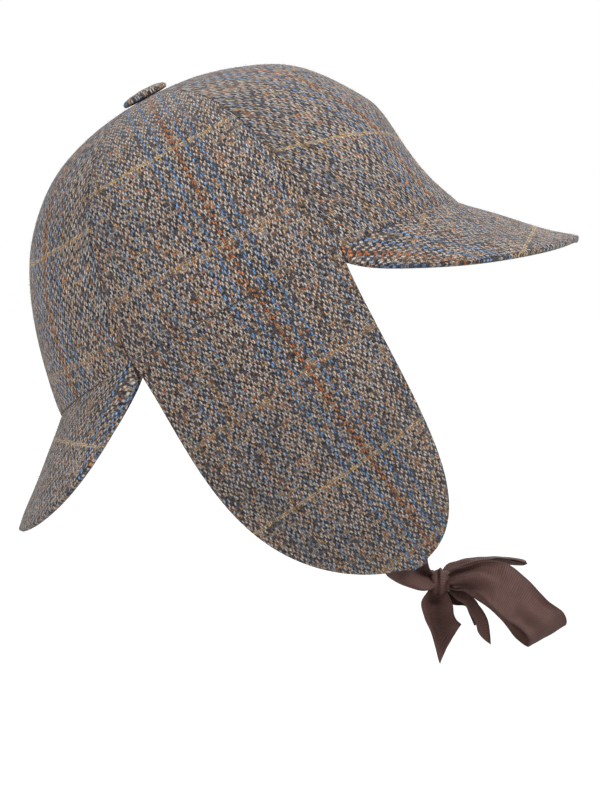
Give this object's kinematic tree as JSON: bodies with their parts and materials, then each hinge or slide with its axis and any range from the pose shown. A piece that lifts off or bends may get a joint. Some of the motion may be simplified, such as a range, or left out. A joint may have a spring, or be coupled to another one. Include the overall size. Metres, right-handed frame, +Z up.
{
  "type": "deerstalker hat",
  "caption": "Tweed deerstalker hat with a gored crown, covered button, peaks front and back, and ear flaps let down and tied under the chin with a ribbon bow.",
  "frame": {"origin": "middle of the head opening, level with its front and back edges, where the hat sits on a head", "axes": "+X the way the wearer faces, +Y the wearer's left, +Z up; the hat is worn tipped back, so its opening rises 28.3 degrees towards +X"},
  "size_m": [0.2619, 0.1742, 0.2788],
  "materials": {
    "tweed": "coarse woollen tweed, grey-brown with blue, rust and orange overcheck",
    "grosgrain": "dark brown grosgrain ribbon with a soft sheen"
  },
  "bodies": {
    "root": {"crown_panel_front_left": "tweed", "crown_panel_front_right": "tweed", "crown_panel_side_left": "tweed", "crown_panel_side_right": "tweed", "crown_panel_back_left": "tweed", "crown_panel_back_right": "tweed", "top_button": "tweed", "peak_front": "tweed", "peak_back": "tweed", "ear_flap_left": "tweed", "ear_flap_right": "tweed", "chin_ribbon_left": "grosgrain", "chin_ribbon_right": "grosgrain", "bow_knot": "grosgrain", "bow_loop_near": "grosgrain", "bow_loop_far": "grosgrain", "bow_tail_near": "grosgrain", "bow_tail_far": "grosgrain"}
  },
  "joints": []
}
